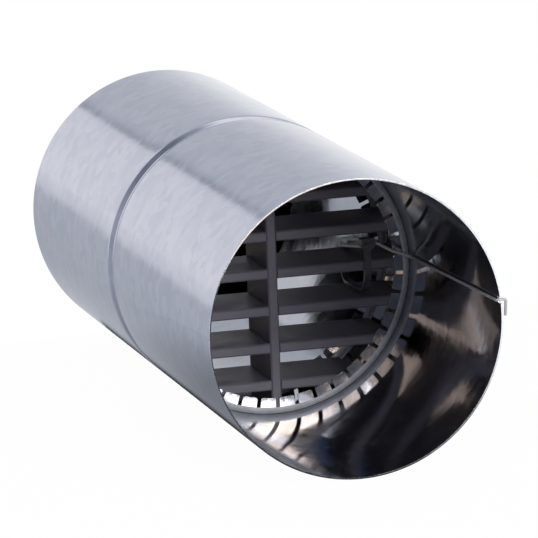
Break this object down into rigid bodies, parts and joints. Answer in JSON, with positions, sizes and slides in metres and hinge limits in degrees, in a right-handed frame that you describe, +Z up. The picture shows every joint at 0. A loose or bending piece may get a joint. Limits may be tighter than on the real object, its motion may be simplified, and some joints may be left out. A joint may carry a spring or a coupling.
{
  "type": "fire damper",
  "caption": "Round galvanised duct fire damper: grooved casing with a pull-out slatted intumescent insert in a slotted folded band, held by a cable tie and pull wire.",
  "frame": {"origin": "centre of the casing's rear end, on the duct's axis", "axes": "+Y along the casing from its open front to its rear end, +Z up along the centre plate, +X to the side where the pull wire lies"},
  "size_m": [0.102, 0.25, 0.1],
  "materials": {
    "galvanised_sheet": "bright galvanised sheet with a soft spangle",
    "band_sheet": "plain zinc-coated strip, folded",
    "intumescent_strip": "dark grey extruded strip, satin",
    "tie_nylon": "dark nylon",
    "steel_wire": "drawn steel wire"
  },
  "bodies": {
    "casing": {"casing": "galvanised_sheet"},
    "insert": {"retaining_band": "band_sheet", "centre_plate": "intumescent_strip", "slat_1": "intumescent_strip", "slat_2": "intumescent_strip", "slat_3": "intumescent_strip", "slat_4": "intumescent_strip", "slat_5": "intumescent_strip", "slat_6": "intumescent_strip", "slat_7": "intumescent_strip", "cable_tie": "tie_nylon", "pull_wire": "steel_wire"}
  },
  "joints": [
    {"name": "insert_slide", "type": "slide", "parent": "casing", "child": "insert", "axis": [0, -1, 0], "range_m": [0, 0.125]}
  ]
}
